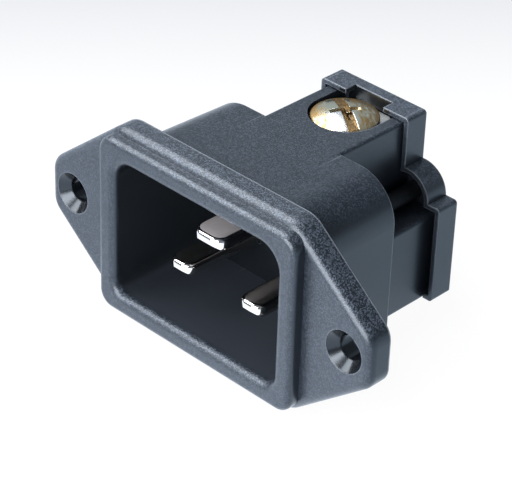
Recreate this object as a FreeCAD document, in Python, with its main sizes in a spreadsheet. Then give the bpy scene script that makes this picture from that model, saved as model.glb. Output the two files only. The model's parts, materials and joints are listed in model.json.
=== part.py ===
"""Panel mount power inlet with three horizontal flat pins and screw terminals behind a rear cover.

Frame: +Z up, +X to the right seen from the front, the front faces -Y. The origin lies midway
between the two fixing holes, on the rear face of the flange, where the panel bears.
"""
import FreeCAD, Part
import math
import os
from collections import namedtuple

import Sketcher
from FreeCAD import Vector

# Driving dimensions in millimetres (angles in degrees), each with its name and meaning
SIZES = [
    ("ear_reach", 4.4, "end of an ear beyond its fixing hole"),
    ("flange_margin", 0.9, "flange above and below the rim"),
    ("flange_thick", 3.6, "flange thickness"),
    ("slope_inset", 1.7, "start of an ear's slope inside the rim's side"),
    ("ear_end_height", 7.0, "straight end of an ear before its corners are rounded"),
    ("ear_corner_radius", 3.0, "rounded corners at the end of an ear"),
    ("flange_corner_radius", 4.0, "rounded corners where an ear begins"),
    ("flange_edge_round", 1.2, "rounded front edge of the flange"),
    ("edge_land", 0.04, "least flat left between that edge and a countersink"),
    ("hole_spacing", 50.0, "fixing holes, centre to centre"),
    ("hole_dia", 3.4, "fixing hole"),
    ("countersink_dia", 6.0, "countersink of a fixing hole at the front face"),
    ("rim_side_wall", 3.0, "rim beside the recess"),
    ("rim_top_wall", 2.85, "rim above and below the recess"),
    ("rim_proud", 1.85, "rim in front of the flange"),
    ("rim_corner_radius", 2.4, "outer corners of the rim"),
    ("rim_edge_round", 0.85, "rounded outer edge of the rim"),
    ("recess_width", 29.8, "recess for the mating connector"),
    ("recess_height", 20.9, "recess for the mating connector"),
    ("recess_floor", 11.8, "floor of the recess behind the panel face"),
    ("recess_top_radius", 3.3, "upper corners of the recess"),
    ("recess_low_radius", 2.2, "lower corners of the recess"),
    ("mouth_round", 1.05, "rounded mouth of the recess"),
    ("shell_side_wall", 2.1, "shell beside the recess where it leaves the flange"),
    ("shell_top_wall", 2.65, "shell above and below the recess where it leaves the flange"),
    ("shell_back", 2.7, "shell behind the floor of the recess"),
    ("shell_draft", 1.2, "taper of the shell towards the rear"),
    ("shell_top_radius", 6.4, "upper corners of the shell"),
    ("shell_low_radius", 3.5, "lower corners of the shell"),
    ("back_wall", 3.7, "wall from the floor of the recess to the tangs"),
    ("terminal_depth", 11.0, "terminal block from that wall to the rim of the cover"),
    ("tower_wall", 1.9, "earth tower beside its chamber"),
    ("tower_top", 12.9, "top of the earth tower above the centre line"),
    ("base_wall", 1.05, "lower terminal block beside its chambers"),
    ("base_top", 0.8, "top of the lower terminal block above the centre line"),
    ("base_bottom", 12.4, "underside of the lower terminal block below the centre line"),
    ("block_edge_round", 0.5, "rounded long edges of the tower and the lower block"),
    ("boss_height", 2.4, "cover screws and their bosses above the centre line"),
    ("boss_dia", 6.6, "cover screw boss"),
    ("boss_length", 6.0, "cover screw boss behind the shell"),
    ("pilot_spare", 0.7, "cover screw hole in a boss beyond the screw's tip"),
    ("pole_pitch", 13.0, "line to neutral pin"),
    ("earth_offset", 8.0, "earth pin above the line and neutral pins"),
    ("pin_thick", 2.0, "every pin and its tang"),
    ("pole_width", 4.2, "line and neutral blade"),
    ("earth_width", 5.5, "earth blade"),
    ("pole_reach", 1.55, "line and neutral tips in front of the panel face"),
    ("earth_reach", 3.1, "earth tip in front of the panel face"),
    ("tip_corner_radius", 1.9, "corners of a blade's tip"),
    ("blade_edge_chamfer", 0.4, "edges of a blade"),
    ("pin_clearance", 0.05, "pin and tang in the housing"),
    ("tang_width", 8.4, "tang behind the blade"),
    ("tang_end_gap", 0.15, "tang short of the cover plate"),
    ("head_clearance", 0.35, "terminal screw head in its chamber"),
    ("head_end_gap", 0.95, "terminal screw head in front of the cover plate"),
    ("thread_dia", 3.9, "terminal screw shank"),
    ("thread_clearance", 0.05, "shank in the tang and in the clamp plate"),
    ("tip_chamfer", 0.4, "chamfered end of every screw"),
    ("head_dia", 9.4, "terminal screw head"),
    ("head_height", 2.0, "terminal screw head with its dome"),
    ("head_side", 1.0, "straight side of a terminal screw head"),
    ("slot_width", 1.5, "driver slot"),
    ("slot_depth", 0.85, "driver slot below the top of the dome"),
    ("slot_turn", -32.0, "direction of the driver slot"),
    ("cross_width", 0.95, "arm of the cross recess"),
    ("cross_span", 4.8, "cross recess, arm end to arm end"),
    ("cross_depth", 1.5, "cross recess below the top of the dome"),
    ("earth_head_seat", 11.6, "underside of the earth screw head above the centre line"),
    ("pole_head_seat", 10.2, "underside of the other screw heads below the centre line"),
    ("plate_thick", 1.4, "clamp plate"),
    ("plate_corner", 0.7, "corners of a clamp plate"),
    ("plate_clearance", 0.25, "corners of a clamp plate in the round end of its chamber"),
    ("plate_end_gap", 0.15, "clamp plate short of the cover plate"),
    ("plate_gap", 0.05, "clamp plate under the screw head"),
    ("clamped_gap", 0.25, "clamp plate to tang when fully tightened"),
    ("tip_inset", 0.3, "screw tip inside the far face of the tang"),
    ("tip_hole_clearance", 0.45, "hole that takes the screw tip behind the tang"),
    ("tip_hole_spare", 0.1, "hole deeper than the tip goes"),
    ("wire_bore_dia", 5.8, "wire entry"),
    ("earth_wire_height", 6.2, "earth wire entry above the centre line"),
    ("pole_wire_drop", 7.0, "line and neutral wire entries below the centre line"),
    ("collar_wall", 2.1, "collar round a wire entry"),
    ("collar_length", 3.2, "collar behind the cover"),
    ("collar_chamfer", 0.5, "edge of a collar and mouth of a wire entry"),
    ("cover_thick", 3.7, "cover with its rim"),
    ("cover_rim", 1.9, "rim of the cover in front of its plate"),
    ("cover_corner_round", 0.5, "rounded corners of the cover's outline"),
    ("cover_rim_wall", 0.7, "wall of that rim"),
    ("cover_top_lip", 0.85, "cover above the earth tower"),
    ("cover_tower_lip", 0.9, "cover beside the earth tower"),
    ("cover_base_lip", 1.7, "cover beside the lower block"),
    ("cover_low_step", 0.2, "cover short of the underside of the lower block"),
    ("cover_fit", 0.1, "lower block in the open edge of the rim"),
    ("cover_ledge", 1.8, "wide part of the cover above the lower block"),
    ("cover_ear_lip", 0.75, "rounded shoulders of the cover beyond the bosses"),
    ("notch_clearance", 0.55, "notch in the rim of the cover beside the earth screw head"),
    ("cover_screw_dia", 2.5, "cover screw shank"),
    ("cover_screw_gap", 0.05, "cover screw beside the earth tower"),
    ("cover_screw_grip", 6.5, "cover screw inside its boss"),
    ("cover_screw_clearance", 0.05, "cover screw in its holes"),
    ("cover_head_dia", 5.4, "cover screw head"),
    ("cover_head_height", 1.8, "cover screw head with its dome"),
    ("cover_head_side", 1.1, "straight side of a cover screw head"),
    ("cover_head_clearance", 0.3, "cover screw head in its counterbore"),
    ("counterbore_depth", 0.8, "seat of a cover screw head in the back of the cover"),
    ("cover_cross_width", 0.8, "arm of a cover screw's recess"),
    ("cover_cross_span", 3.0, "cover screw's recess, arm end to arm end"),
    ("cover_cross_depth", 1.0, "cover screw's recess"),
]

TOLERANCE = 1e-4
FULL_TURN = 360

doc = FreeCAD.newDocument("power_inlet")
sheet = doc.addObject("Spreadsheet::Sheet", "dims")
for row, (alias, value, meaning) in enumerate(SIZES, start=1):
    sheet.set(f"A{row}", meaning)
    sheet.set(f"B{row}", str(value))
    sheet.setAlias(f"B{row}", alias)
doc.recompute()


def size(expression):
    """The present value of an expression on the sheet."""
    return float(sheet.evalExpression(expression))


# Sketches: "front" ones lie in X and Z, "plan" ones in X and Y
PLANE_ROLE = {"front": "XZ_Plane", "plan": "XY_Plane"}


def sketch_at(body, name, plane, x="0", y="0", z="0", turn=None):
    """A sketch on one of the body's own planes, with its origin moved to a point of the frame."""
    sketch = body.newObject("Sketcher::SketchObject", name)
    support = [f for f in body.Origin.OriginFeatures if f.Role == PLANE_ROLE[plane]]
    sketch.AttachmentSupport = [(support[0], "")]
    sketch.MapMode = "FlatFace"
    offset = (x, z, f"-({y})") if plane == "front" else (x, y, z)
    for axis, expression in zip("xyz", offset):
        sketch.setExpression(f"AttachmentOffset.Base.{axis}", expression)
    if turn:
        sketch.setExpression("AttachmentOffset.Rotation.Angle", turn)
    return sketch


def tie(sketch, kind, where, expression):
    """Add a dimension to a sketch and bind it to the sheet."""
    index = sketch.addConstraint(Sketcher.Constraint(kind, *where, size(expression)))
    sketch.setExpression(f"Constraints[{index}]", expression)


def tie_point(sketch, geometry, end, point):
    """Hold one end of a sketch line at a point given by two expressions."""
    tie(sketch, "DistanceX", (geometry, end), point[0])
    tie(sketch, "DistanceY", (geometry, end), point[1])


def polygon(sketch, points):
    """A closed outline of straight edges through points given by expressions."""
    corners = [Vector(size(x), size(y), 0) for x, y in points]
    first = sketch.GeometryCount
    count = len(points)
    for k in range(count):
        sketch.addGeometry(Part.LineSegment(corners[k], corners[(k + 1) % count]))
    for k in range(count):
        link = Sketcher.Constraint("Coincident", first + k, 2, first + (k + 1) % count, 1)
        sketch.addConstraint(link)
        tie_point(sketch, first + k, 1, points[k])


def rectangle(sketch, left, right, low, high):
    """A rectangle between four expressions."""
    polygon(sketch, [(left, low), (right, low), (right, high), (left, high)])


def middle_rectangle(sketch, width, height):
    """A rectangle centred on the sketch's origin."""
    rectangle(sketch, f"-({width}) / 2", f"({width}) / 2", f"-({height}) / 2", f"({height}) / 2")


def rounded_rectangle(sketch, width, height, low_radius, high_radius):
    """A rectangle centred on the sketch's origin, with one radius below and one above."""
    x, y = size(width) / 2, size(height) / 2
    low, high = size(low_radius), size(high_radius)
    corners = [(x, -y, low), (x, y, high), (-x, y, high), (-x, -y, low)]
    arcs, sides = [], []
    for k, (cx, cy, radius) in enumerate(corners):
        centre = Vector(cx - math.copysign(radius, cx), cy - math.copysign(radius, cy), 0)
        ring = Part.Circle(centre, Vector(0, 0, 1), radius)
        start = (k - 1) * math.pi / 2
        arcs.append(sketch.addGeometry(Part.ArcOfCircle(ring, start, start + math.pi / 2)))
    for k in range(len(arcs)):
        before, after = sketch.Geometry[arcs[k - 1]], sketch.Geometry[arcs[k]]
        sides.append(sketch.addGeometry(Part.LineSegment(before.EndPoint, after.StartPoint)))
    for k, (side, arc) in enumerate(zip(sides, arcs)):
        sketch.addConstraint(Sketcher.Constraint("Tangent", arcs[k - 1], 2, side, 1))
        sketch.addConstraint(Sketcher.Constraint("Tangent", side, 2, arc, 1))
        sketch.addConstraint(Sketcher.Constraint("Horizontal" if k % 2 == 0 else "Vertical", side))
    tie(sketch, "DistanceY", (sides[0], 1), f"-({height}) / 2")
    tie(sketch, "DistanceX", (sides[1], 1), f"({width}) / 2")
    tie(sketch, "DistanceY", (sides[2], 1), f"({height}) / 2")
    tie(sketch, "DistanceX", (sides[3], 1), f"-({width}) / 2")
    for arc, radius in zip(arcs, (low_radius, high_radius, high_radius, low_radius)):
        tie(sketch, "Radius", (arc,), radius)


def circle(sketch, x, y, diameter):
    """A circle whose centre and diameter are expressions."""
    centre = Vector(size(x), size(y), 0)
    index = sketch.addGeometry(Part.Circle(centre, Vector(0, 0, 1), size(diameter) / 2))
    tie(sketch, "Diameter", (index,), diameter)
    tie_point(sketch, index, 3, (x, y))


def plus_sign(sketch, span, arm):
    """The outline of a cross recess, centred on the sketch's origin."""
    far = f"({span}) / 2"
    near = f"({arm}) / 2"
    quarter = [(far, near), (near, near), (near, far)]
    signs = [("", ""), ("-", ""), ("-", "-"), ("", "-")]
    points = []
    for k, (sx, sy) in enumerate(signs):
        turn = quarter if k % 2 == 0 else quarter[::-1]
        points += [(f"{sx}({x})", f"{sy}({y})") for x, y in turn]
    polygon(sketch, points)


# Features: every one works along a named direction
def finish_feature(feature, length):
    """Give a pad or pocket its length, or let it run right through."""
    if length is None:
        feature.Type = "ThroughAll"
    else:
        feature.setExpression("Length", length)
    doc.recompute()


def add(body, sketch, length, toward, taper=None):
    """Pad a sketch towards the front, rear, up or down."""
    pad = body.newObject("PartDesign::Pad", f"{sketch.Name}_pad")
    pad.Profile = sketch
    pad.Reversed = toward in ("rear", "down")
    if taper:
        pad.setExpression("TaperAngle", taper)
    finish_feature(pad, length)


def cut(body, sketch, length, toward):
    """Cut a sketch out towards the front, rear, up or down, and make sure that it removed something."""
    before = body.Shape.Volume
    pocket = body.newObject("PartDesign::Pocket", f"{sketch.Name}_pocket")
    pocket.Profile = sketch
    pocket.Reversed = toward in ("front", "up")
    finish_feature(pocket, length)
    if body.Shape.Volume > before - TOLERANCE:
        raise RuntimeError(f"{pocket.Name} removed nothing")


def edges_where(body, test):
    """Names of the edges of a body's present solid that pass a test."""
    edges = enumerate(body.Tip.Shape.Edges, start=1)
    return [f"Edge{k}" for k, edge in edges if test(edge)]


def dress(body, kind, name, edges, expression):
    """Round or chamfer edges by an amount from the sheet."""
    if not edges:
        raise RuntimeError(f"{name} found no edges")
    base = body.Tip
    feature = body.newObject(f"PartDesign::{kind}", name)
    feature.Base = (base, edges)
    feature.setExpression("Radius" if kind == "Fillet" else "Size", expression)
    doc.recompute()


def near(value, target):
    """Whether two lengths are the same."""
    return abs(value - target) < TOLERANCE


def lies_at(edge, axis, target):
    """Whether a whole edge lies at one place along an axis."""
    return all(near(getattr(vertex.Point, axis), target) for vertex in edge.Vertexes)


def runs_along(edge, axis):
    """Whether an edge is straight and parallel to an axis."""
    others = [a for a in "xyz" if a != axis]
    ends = [vertex.Point for vertex in edge.Vertexes]
    straight = edge.Curve.TypeId == "Part::GeomLine"
    return straight and all(near(getattr(ends[0], a), getattr(ends[-1], a)) for a in others)


def new_body(label):
    """A body whose label is its node's name."""
    body = doc.addObject("PartDesign::Body", label)
    body.Label = label
    return body


# Places and sizes that follow from the driving dimensions, along the depth first
FRONT_FACE = "(dims.flange_thick + dims.rim_proud)"
SHELL_DEPTH = "(dims.recess_floor + dims.shell_back)"
TANG_FRONT = "(dims.recess_floor + dims.back_wall)"
COVER_FRONT = f"({TANG_FRONT} + dims.terminal_depth)"
BLOCK_END = f"({COVER_FRONT} + dims.cover_rim)"
TANG_END = f"({BLOCK_END} - dims.tang_end_gap)"
COVER_BACK = f"({COVER_FRONT} + dims.cover_thick)"
BOSS_END = f"({SHELL_DEPTH} + dims.boss_length)"

# Clamp plates, chambers and heads
CHAMBER_RADIUS = "(dims.head_dia / 2 + dims.head_clearance)"
CHAMBER_REACH = "(dims.head_dia / 2 + dims.head_end_gap)"
SCREW_STATION = f"({BLOCK_END} - {CHAMBER_REACH})"
PLATE_HALF = (f"(({CHAMBER_RADIUS} - dims.plate_clearance - dims.plate_corner) / sqrt(2)"
              " + dims.plate_corner)")
PLATE_REACH = f"({CHAMBER_REACH} - dims.plate_end_gap)"
TAPPED_DIA = "(dims.thread_dia + 2 * dims.thread_clearance)"
TIP_HOLE_DIA = "(dims.thread_dia + 2 * dims.tip_hole_clearance)"
NOTCH_HALF = (f"(sqrt((dims.head_dia / 2) ^ 2 - ({CHAMBER_REACH} - dims.cover_rim) ^ 2)"
              " + dims.notch_clearance)")

# Heights of the tangs, from the centre line outwards
TANG_INNER = "((dims.earth_offset - dims.pin_thick) / 2)"
TANG_OUTER = "((dims.earth_offset + dims.pin_thick) / 2)"
TANG_BED = f"({TANG_INNER} - dims.pin_clearance)"
TANG_ROOF = f"({TANG_OUTER} + dims.pin_clearance)"

# Outlines round the recess and the chambers
RIM_WIDTH = "(dims.recess_width + 2 * dims.rim_side_wall)"
RIM_HEIGHT = "(dims.recess_height + 2 * dims.rim_top_wall)"
EAR_LAND = "(dims.ear_reach - dims.countersink_dia / 2 - dims.edge_land)"
FLANGE_ROUND = f"min(dims.flange_edge_round; {EAR_LAND})"
TOWER_HALF = f"({CHAMBER_RADIUS} + dims.tower_wall)"
BASE_HALF = f"(dims.pole_pitch / 2 + {CHAMBER_RADIUS} + dims.base_wall)"
COVER_BOTTOM = "(dims.base_bottom - dims.cover_low_step)"
COVER_TOP = "(dims.tower_top + dims.cover_top_lip)"
COVER_WIDE_HALF = f"({BASE_HALF} + dims.cover_base_lip)"
COVER_TALL_HALF = f"({TOWER_HALF} + dims.cover_tower_lip)"
COVER_LEDGE = "(dims.base_top + dims.cover_ledge)"
COVER_EAR_DIA = "(dims.boss_dia + 2 * dims.cover_ear_lip)"
COLLAR_DIA = "(dims.wire_bore_dia + 2 * dims.collar_wall)"

# Cover screws
COVER_SCREW_X = f"({TOWER_HALF} + dims.cover_screw_gap + dims.cover_screw_dia / 2)"
COVER_HOLE_DIA = "(dims.cover_screw_dia + 2 * dims.cover_screw_clearance)"
COUNTERBORE_DIA = "(dims.cover_head_dia + 2 * dims.cover_head_clearance)"
COVER_SCREW_SEAT = f"({COVER_BACK} - dims.counterbore_depth)"
COVER_SCREW_LENGTH = f"({COVER_SCREW_SEAT} - {BOSS_END} + dims.cover_screw_grip)"

# The three terminals: heights are measured outwards from the centre line, and side is +1 where
# the terminal faces up and -1 where it faces down
Terminal = namedtuple("Terminal", "name x side width reach seat wire")
TERMINALS = [
    Terminal("earth", "0", 1, "dims.earth_width", "dims.earth_reach",
             "dims.earth_head_seat", "dims.earth_wire_height"),
    Terminal("line", "dims.pole_pitch / 2", -1, "dims.pole_width", "dims.pole_reach",
             "dims.pole_head_seat", "dims.pole_wire_drop"),
    Terminal("neutral", "-dims.pole_pitch / 2", -1, "dims.pole_width", "dims.pole_reach",
             "dims.pole_head_seat", "dims.pole_wire_drop"),
]


def outward(terminal):
    """The direction in which a terminal's screw head points."""
    return "up" if terminal.side > 0 else "down"


def inward(terminal):
    """The direction in which a terminal's screw tip points."""
    return "down" if terminal.side > 0 else "up"


def plate_inner(terminal):
    """Clamping face of a clamp plate, from the centre line."""
    return f"({terminal.seat} - dims.plate_gap - dims.plate_thick)"


def screw_travel(terminal):
    """How far a screw moves in until its plate is down on the tang."""
    return f"({plate_inner(terminal)} - {TANG_OUTER} - dims.clamped_gap)"


def beside(x, half_width, sign):
    """A place to one side of a terminal's centre."""
    return f"{x} {sign} ({half_width})"


# Housing
def flange(body):
    """Lozenge flange with two ears, rounded corners and a rounded front edge."""
    length = "(dims.hole_spacing / 2 + dims.ear_reach)"
    height = f"({RIM_HEIGHT} / 2 + dims.flange_margin)"
    flat = f"({RIM_WIDTH} / 2 - dims.slope_inset)"
    end = "dims.ear_end_height / 2"
    outline = sketch_at(body, "flange", "front")
    polygon(outline, [
        (f"-{flat}", f"-{height}"), (flat, f"-{height}"), (length, f"-{end}"), (length, end),
        (flat, height), (f"-{flat}", height), (f"-{length}", end), (f"-{length}", f"-{end}"),
    ])
    add(body, outline, "dims.flange_thick", "front")
    ends = edges_where(body, lambda e: runs_along(e, "y") and near(abs(e.Vertexes[0].X), size(length)))
    dress(body, "Fillet", "ear_corners", ends, "dims.ear_corner_radius")
    kinks = edges_where(body, lambda e: runs_along(e, "y") and near(abs(e.Vertexes[0].Z), size(height)))
    dress(body, "Fillet", "flange_corners", kinks, "dims.flange_corner_radius")
    front = -size("dims.flange_thick")
    dress(body, "Fillet", "flange_edge", edges_where(body, lambda e: lies_at(e, "y", front)), FLANGE_ROUND)


def rim(body):
    """Raised rim round the recess."""
    outline = sketch_at(body, "rim", "front")
    rounded_rectangle(outline, RIM_WIDTH, RIM_HEIGHT,
                      "dims.rim_corner_radius", "dims.rim_corner_radius")
    add(body, outline, FRONT_FACE, "front")


def shell(body):
    """Tapered shell round the recess, behind the flange."""
    outline = sketch_at(body, "shell", "front")
    middle_rectangle(outline, "dims.recess_width + 2 * dims.shell_side_wall",
                     "dims.recess_height + 2 * dims.shell_top_wall")
    add(body, outline, SHELL_DEPTH, "rear", taper="-dims.shell_draft")
    depth = size(SHELL_DEPTH)

    def is_corner(edge, side):
        ends = [vertex.Point for vertex in edge.Vertexes]
        reaches = near(min(p.y for p in ends), 0) and near(max(p.y for p in ends), depth)
        return reaches and side * ends[0].z > 0

    dress(body, "Fillet", "shell_top_corners", edges_where(body, lambda e: is_corner(e, 1)),
          "dims.shell_top_radius")
    dress(body, "Fillet", "shell_low_corners", edges_where(body, lambda e: is_corner(e, -1)),
          "dims.shell_low_radius")


def terminal_block(body):
    """Earth tower, lower block and cover screw bosses behind the shell."""
    edge = "dims.block_edge_round"
    tower = sketch_at(body, "tower", "front", z="dims.tower_top / 2")
    rounded_rectangle(tower, f"2 * {TOWER_HALF}", "dims.tower_top", edge, edge)
    add(body, tower, BLOCK_END, "rear")
    base = sketch_at(body, "base", "front", z="(dims.base_top - dims.base_bottom) / 2")
    rounded_rectangle(base, f"2 * {BASE_HALF}", "dims.base_top + dims.base_bottom", edge, edge)
    add(body, base, BLOCK_END, "rear")
    bosses = sketch_at(body, "bosses", "front")
    for sign in ("", "-"):
        circle(bosses, f"{sign}{COVER_SCREW_X}", "dims.boss_height", "dims.boss_dia")
    add(body, bosses, BOSS_END, "rear")


def recess(body):
    """Recess for the mating connector, with its rounded corners."""
    outline = sketch_at(body, "recess", "front", y="dims.recess_floor")
    rounded_rectangle(outline, "dims.recess_width", "dims.recess_height",
                      "dims.recess_low_radius", "dims.recess_top_radius")
    cut(body, outline, None, "front")


def front_rounds(body):
    """Rounded mouth and rim edge."""
    front = -size(FRONT_FACE)
    half_x, half_z = size("dims.recess_width / 2"), size("dims.recess_height / 2")

    def in_recess(vertex):
        return abs(vertex.X) < half_x + TOLERANCE and abs(vertex.Z) < half_z + TOLERANCE

    def is_mouth(edge):
        return lies_at(edge, "y", front) and all(in_recess(v) for v in edge.Vertexes)

    def is_rim(edge):
        return lies_at(edge, "y", front) and not is_mouth(edge)

    dress(body, "Fillet", "rim_edge", edges_where(body, is_rim), "dims.rim_edge_round")
    dress(body, "Fillet", "mouth_edge", edges_where(body, is_mouth), "dims.mouth_round")


def fixing_holes(body):
    """Two countersunk holes in the ears."""
    holes = sketch_at(body, "fixing_holes", "front")
    for sign in ("", "-"):
        circle(holes, f"{sign}dims.hole_spacing / 2", "0", "dims.hole_dia")
    cut(body, holes, None, "front")
    reach = size("dims.hole_spacing / 2")
    front = -size("dims.flange_thick")

    def is_mouth(edge):
        round_edge = edge.Curve.TypeId == "Part::GeomCircle"
        return round_edge and near(edge.Curve.Center.y, front) and near(abs(edge.Curve.Center.x), reach)

    dress(body, "Chamfer", "countersinks", edges_where(body, is_mouth),
          "(dims.countersink_dia - dims.hole_dia) / 2")


def chamber_outline(sketch, radius, length):
    """A chamber with a rounded front end, open at the rear, centred on the sketch's origin."""
    r, far = size(radius), size(length)
    arc = sketch.addGeometry(Part.Arc(Vector(-r, 0, 0), Vector(0, -r, 0), Vector(r, 0, 0)))
    corners = [Vector(r, 0, 0), Vector(r, far, 0), Vector(-r, far, 0), Vector(-r, 0, 0)]
    sides = [sketch.addGeometry(Part.LineSegment(a, b)) for a, b in zip(corners, corners[1:])]
    sketch.addConstraint(Sketcher.Constraint("Coincident", arc, 3, -1, 1))
    sketch.addConstraint(Sketcher.Constraint("Coincident", arc, 2, sides[0], 1))
    sketch.addConstraint(Sketcher.Constraint("Coincident", sides[0], 2, sides[1], 1))
    sketch.addConstraint(Sketcher.Constraint("Coincident", sides[1], 2, sides[2], 1))
    sketch.addConstraint(Sketcher.Constraint("Coincident", sides[2], 2, arc, 1))
    tie_point(sketch, sides[0], 1, (radius, "0"))
    tie_point(sketch, sides[1], 1, (radius, length))
    tie_point(sketch, sides[2], 1, (f"-{radius}", length))
    sketch.addConstraint(Sketcher.Constraint("PointOnObject", arc, 1, -1))


def terminal_cavities(body, terminal):
    """Slot for the blade, bed for the tang, chamber for the clamp and hole for the screw tip."""
    name, x, side = terminal.name, terminal.x, terminal.side
    bed = f"{side} * {TANG_BED}"
    roof = f"{side} * {TANG_ROOF}"
    low, high = (bed, roof) if side > 0 else (roof, bed)

    slot_half = f"{terminal.width} / 2 + dims.pin_clearance"
    slot = sketch_at(body, f"{name}_blade_slot", "front", y=TANG_FRONT)
    rectangle(slot, beside(x, slot_half, "-"), beside(x, slot_half, "+"), low, high)
    cut(body, slot, "dims.back_wall", "front")

    tang_half = "dims.tang_width / 2 + dims.pin_clearance"
    tang_bed = sketch_at(body, f"{name}_tang_bed", "front", y=TANG_FRONT)
    rectangle(tang_bed, beside(x, tang_half, "-"), beside(x, tang_half, "+"), low, high)
    cut(body, tang_bed, None, "rear")

    chamber = sketch_at(body, f"{name}_chamber", "plan", x, SCREW_STATION, bed)
    chamber_outline(chamber, CHAMBER_RADIUS, CHAMBER_REACH)
    cut(body, chamber, None, outward(terminal))

    tip_end = f"({TANG_INNER} + dims.tip_inset - {screw_travel(terminal)} - dims.tip_hole_spare)"
    tip_hole = sketch_at(body, f"{name}_tip_hole", "plan", x, SCREW_STATION, bed)
    circle(tip_hole, "0", "0", TIP_HOLE_DIA)
    cut(body, tip_hole, f"{TANG_BED} - {tip_end}", inward(terminal))


def pilot_holes(body):
    """Holes for the cover screws in the bosses."""
    pilots = sketch_at(body, "pilots", "front", y=BOSS_END)
    for sign in ("", "-"):
        circle(pilots, f"{sign}{COVER_SCREW_X}", "dims.boss_height", COVER_HOLE_DIA)
    cut(body, pilots, "dims.cover_screw_grip + dims.pilot_spare", "front")


def inlet_housing():
    """The one-piece moulding that carries everything else."""
    body = new_body("inlet_housing")
    flange(body)
    rim(body)
    shell(body)
    terminal_block(body)
    recess(body)
    front_rounds(body)
    fixing_holes(body)
    for terminal in TERMINALS:
        terminal_cavities(body, terminal)
    pilot_holes(body)
    return body


# Cover
def cover_shape(body):
    """Outline of the cover: wide over the lower block, tall over the tower, with two round shoulders."""
    corner = "dims.cover_corner_round"
    wide = sketch_at(body, "cover_base", "front", y=COVER_FRONT, z=f"({COVER_LEDGE} - {COVER_BOTTOM}) / 2")
    rounded_rectangle(wide, f"2 * {COVER_WIDE_HALF}", f"{COVER_LEDGE} + {COVER_BOTTOM}", corner, corner)
    add(body, wide, "dims.cover_thick", "rear")
    tall = sketch_at(body, "cover_tower", "front", y=COVER_FRONT, z=f"{COVER_TOP} / 2")
    rounded_rectangle(tall, f"2 * {COVER_TALL_HALF}", COVER_TOP, corner, corner)
    add(body, tall, "dims.cover_thick", "rear")
    ears = sketch_at(body, "cover_ears", "front", y=COVER_FRONT)
    for sign in ("", "-"):
        circle(ears, f"{sign}{COVER_SCREW_X}", "dims.boss_height", COVER_EAR_DIA)
    add(body, ears, "dims.cover_thick", "rear")


def cover_hollow(body):
    """Hollow inside the rim, open below for the lower block and notched above the earth screw."""
    wall = "dims.cover_rim_wall"
    wide = sketch_at(body, "hollow_base", "front", y=COVER_FRONT)
    wide_half = f"({COVER_WIDE_HALF} - {wall})"
    rectangle(wide, f"-{wide_half}", wide_half, f"-({COVER_BOTTOM} - {wall})", f"{COVER_LEDGE} - {wall}")
    cut(body, wide, "dims.cover_rim", "rear")
    tall = sketch_at(body, "hollow_tower", "front", y=COVER_FRONT)
    tall_half = f"({COVER_TALL_HALF} - {wall})"
    rectangle(tall, f"-{tall_half}", tall_half, "0", f"{COVER_TOP} - {wall}")
    cut(body, tall, "dims.cover_rim", "rear")
    ears = sketch_at(body, "hollow_ears", "front", y=COVER_FRONT)
    for sign in ("", "-"):
        circle(ears, f"{sign}{COVER_SCREW_X}", "dims.boss_height", f"{COVER_EAR_DIA} - 2 * {wall}")
    cut(body, ears, "dims.cover_rim", "rear")
    opening = sketch_at(body, "hollow_foot", "front", y=COVER_FRONT)
    open_half = f"({BASE_HALF} + dims.cover_fit)"
    rectangle(opening, f"-{open_half}", open_half, f"-{COVER_BOTTOM}", "0")
    cut(body, opening, "dims.cover_rim", "rear")
    notch = sketch_at(body, "notch", "front", y=COVER_FRONT)
    rectangle(notch, f"-{NOTCH_HALF}", NOTCH_HALF, "0", COVER_TOP)
    cut(body, notch, "dims.cover_rim", "rear")


def wire_entries(body):
    """Three collared wire entries."""
    collars = sketch_at(body, "collars", "front", y=BLOCK_END)
    bores = sketch_at(body, "wire_entries", "front", y=BLOCK_END)
    for terminal in TERMINALS:
        height = f"{terminal.side} * {terminal.wire}"
        circle(collars, terminal.x, height, COLLAR_DIA)
        circle(bores, terminal.x, height, "dims.wire_bore_dia")
    collar_end = f"({COVER_BACK} + dims.collar_length)"
    add(body, collars, f"{collar_end} - {BLOCK_END}", "rear")
    cut(body, bores, None, "rear")
    mouths = edges_where(body, lambda e: lies_at(e, "y", size(collar_end)))
    dress(body, "Chamfer", "collar_edges", mouths, "dims.collar_chamfer")


def rear_cover():
    """Rimmed cap over the rear of the terminal block, with collared wire entries and two screws."""
    body = new_body("rear_cover")
    cover_shape(body)
    cover_hollow(body)
    wire_entries(body)
    holes = sketch_at(body, "cover_screw_holes", "front", y=COVER_FRONT)
    counterbores = sketch_at(body, "counterbores", "front", y=COVER_BACK)
    for sign in ("", "-"):
        x = f"{sign}{COVER_SCREW_X}"
        circle(holes, x, "dims.boss_height", COVER_HOLE_DIA)
        circle(counterbores, x, "dims.boss_height", COUNTERBORE_DIA)
    cut(body, holes, None, "rear")
    cut(body, counterbores, "dims.counterbore_depth", "front")
    return body


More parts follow.
